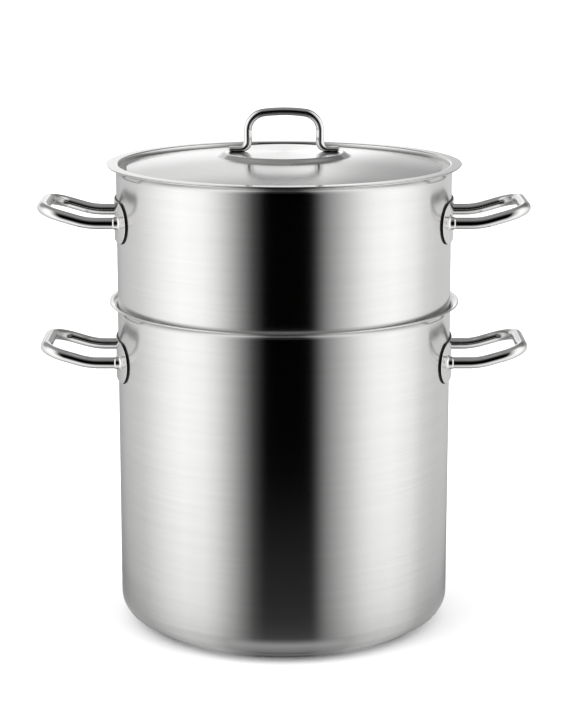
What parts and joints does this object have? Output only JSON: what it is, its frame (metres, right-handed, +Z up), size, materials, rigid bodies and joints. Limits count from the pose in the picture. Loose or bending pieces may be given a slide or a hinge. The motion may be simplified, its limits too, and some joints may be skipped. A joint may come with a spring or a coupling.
{
  "type": "stockpot with steamer insert",
  "caption": "Tall stainless stockpot with a stacked perforated steamer insert, a recessed lid with a bow handle, and raised tubular side handles on oblong plates.",
  "frame": {"origin": "centre of the base, on the surface the pot stands on", "axes": "+Z up the pot's axis, X through the two side handles of each vessel, -Y towards the front"},
  "size_m": [0.4664, 0.3378, 0.4981],
  "materials": {
    "brushed_stainless": "fine circumferential brushing",
    "polished_stainless": "mirror polished",
    "core_aluminium": "mill"
  },
  "bodies": {
    "stockpot": {"pot_shell": "brushed_stainless", "base_core": "core_aluminium", "base_cap": "brushed_stainless", "pot_handle_right": "polished_stainless", "pot_handle_left": "polished_stainless", "pot_plate_right": "polished_stainless", "pot_plate_left": "polished_stainless"},
    "insert": {"insert_shell": "brushed_stainless", "insert_handle_right": "polished_stainless", "insert_handle_left": "polished_stainless", "insert_plate_right": "polished_stainless", "insert_plate_left": "polished_stainless"},
    "lid": {"lid_shell": "brushed_stainless", "lid_handle": "polished_stainless"}
  },
  "joints": [
    {"name": "insert_lift", "type": "slide", "parent": "stockpot", "child": "insert", "axis": [0, 0, 1], "range_m": [0, 0.25]},
    {"name": "lid_lift", "type": "slide", "parent": "insert", "child": "lid", "axis": [0, 0, 1], "range_m": [0, 0.2]}
  ]
}
